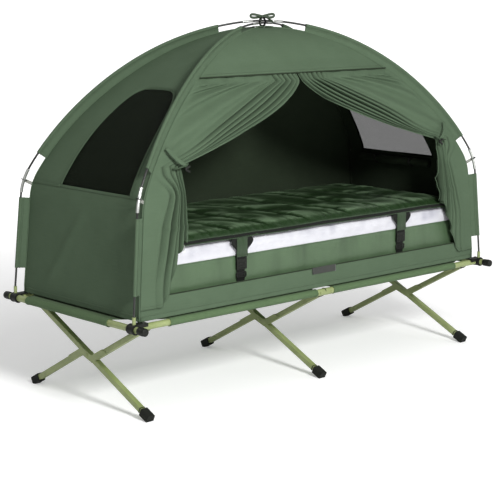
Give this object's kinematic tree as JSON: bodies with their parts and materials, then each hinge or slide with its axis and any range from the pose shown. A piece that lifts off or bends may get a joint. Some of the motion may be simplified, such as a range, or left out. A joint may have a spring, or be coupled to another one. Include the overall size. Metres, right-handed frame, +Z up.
{
  "type": "camp bed with clip-on tent",
  "caption": "Folding camp bed on crossed legs with an air mattress, quilt and arched two-pole tent with an open door.",
  "frame": {"origin": "middle of the footprint on the floor, halfway between the feet", "axes": "+X along the bed to the right as seen from the door, +Y from the door to the back wall, +Z up"},
  "size_m": [1.9406, 0.86, 1.4174],
  "materials": {
    "olive_powder_coat": "satin",
    "black_plastic": "matte",
    "black_rubber": "matte",
    "zinc_steel": "satin",
    "black_fibreglass": "gloss",
    "tent_fabric": "matte",
    "bed_cloth": "matte",
    "window_mesh": "matte",
    "mattress_cover": "satin",
    "quilt_nylon": "satin"
  },
  "bodies": {
    "rear_frame": {"straight_leg_left": "olive_powder_coat", "straight_leg_middle": "olive_powder_coat", "straight_leg_right": "olive_powder_coat", "front_foot_left": "black_rubber", "front_foot_middle": "black_rubber", "front_foot_right": "black_rubber", "pivot_rivet_left": "zinc_steel", "pivot_rivet_middle": "zinc_steel", "pivot_rivet_right": "zinc_steel", "rear_rail_left": "olive_powder_coat", "rear_rail_right": "olive_powder_coat", "rear_rail_hinge": "olive_powder_coat", "bed_cloth": "bed_cloth"},
    "front_frame": {"bent_leg_upper_left": "olive_powder_coat", "bent_leg_lower_left": "olive_powder_coat", "crank_bracket_left": "olive_powder_coat", "rear_foot_left": "black_rubber", "bent_leg_upper_middle": "olive_powder_coat", "bent_leg_lower_middle": "olive_powder_coat", "crank_bracket_middle": "olive_powder_coat", "rear_foot_middle": "black_rubber", "bent_leg_upper_right": "olive_powder_coat", "bent_leg_lower_right": "olive_powder_coat", "crank_bracket_right": "olive_powder_coat", "rear_foot_right": "black_rubber", "front_rail_left": "olive_powder_coat", "front_rail_right": "olive_powder_coat", "front_rail_hinge": "olive_powder_coat"},
    "deck": {"end_bar_left": "olive_powder_coat", "end_bar_right": "olive_powder_coat", "end_cap_front_left": "black_plastic", "end_cap_rear_left": "black_plastic", "end_cap_front_right": "black_plastic", "end_cap_rear_right": "black_plastic", "corner_fitting_front_left": "black_plastic", "corner_fitting_rear_left": "black_plastic", "corner_fitting_front_right": "black_plastic", "corner_fitting_rear_right": "black_plastic", "air_mattress": "mattress_cover", "quilt": "quilt_nylon", "buckle_socket_left": "black_plastic", "buckle_socket_right": "black_plastic"},
    "tent": {"left_end_wall": "tent_fabric", "right_end_wall": "tent_fabric", "left_window_mesh": "window_mesh", "right_window_mesh": "window_mesh", "back_wall": "tent_fabric", "door_visor": "tent_fabric", "door_sill": "tent_fabric", "door_curtain_left": "tent_fabric", "door_curtain_right": "tent_fabric", "tent_pole_upper": "black_fibreglass", "tent_pole_lower": "black_fibreglass", "apex_tie": "tent_fabric", "knee_ferrule_front_left": "zinc_steel", "knee_ferrule_rear_left": "zinc_steel", "knee_ferrule_front_right": "zinc_steel", "knee_ferrule_rear_right": "zinc_steel"},
    "buckle_left": {"buckle_tongue_left": "black_plastic"},
    "buckle_right": {"buckle_tongue_right": "black_plastic"}
  },
  "joints": [
    {"name": "leg_fold", "type": "hinge", "parent": "rear_frame", "child": "front_frame", "pos_m": [0, 0, 0.1803], "axis": [-1, 0, 0], "range_deg": [0, 121], "deforming": ["bed_cloth"]},
    {"name": "deck_lift", "type": "slide", "parent": "rear_frame", "child": "deck", "axis": [0, 0, 1], "range_m": [0, 0.765]},
    {"name": "tent_lift", "type": "slide", "parent": "deck", "child": "tent", "axis": [0, 0, 1], "range_m": [0, 0.3]},
    {"name": "buckle_left_release", "type": "slide", "parent": "deck", "child": "buckle_left", "axis": [0, 0, 1], "range_m": [0, 0.027]},
    {"name": "buckle_right_release", "type": "slide", "parent": "deck", "child": "buckle_right", "axis": [0, 0, 1], "range_m": [0, 0.027]}
  ],
  "couplings": [
    {"joint": "deck_lift", "follows": "leg_fold", "m_per_rad": 0.36}
  ]
}
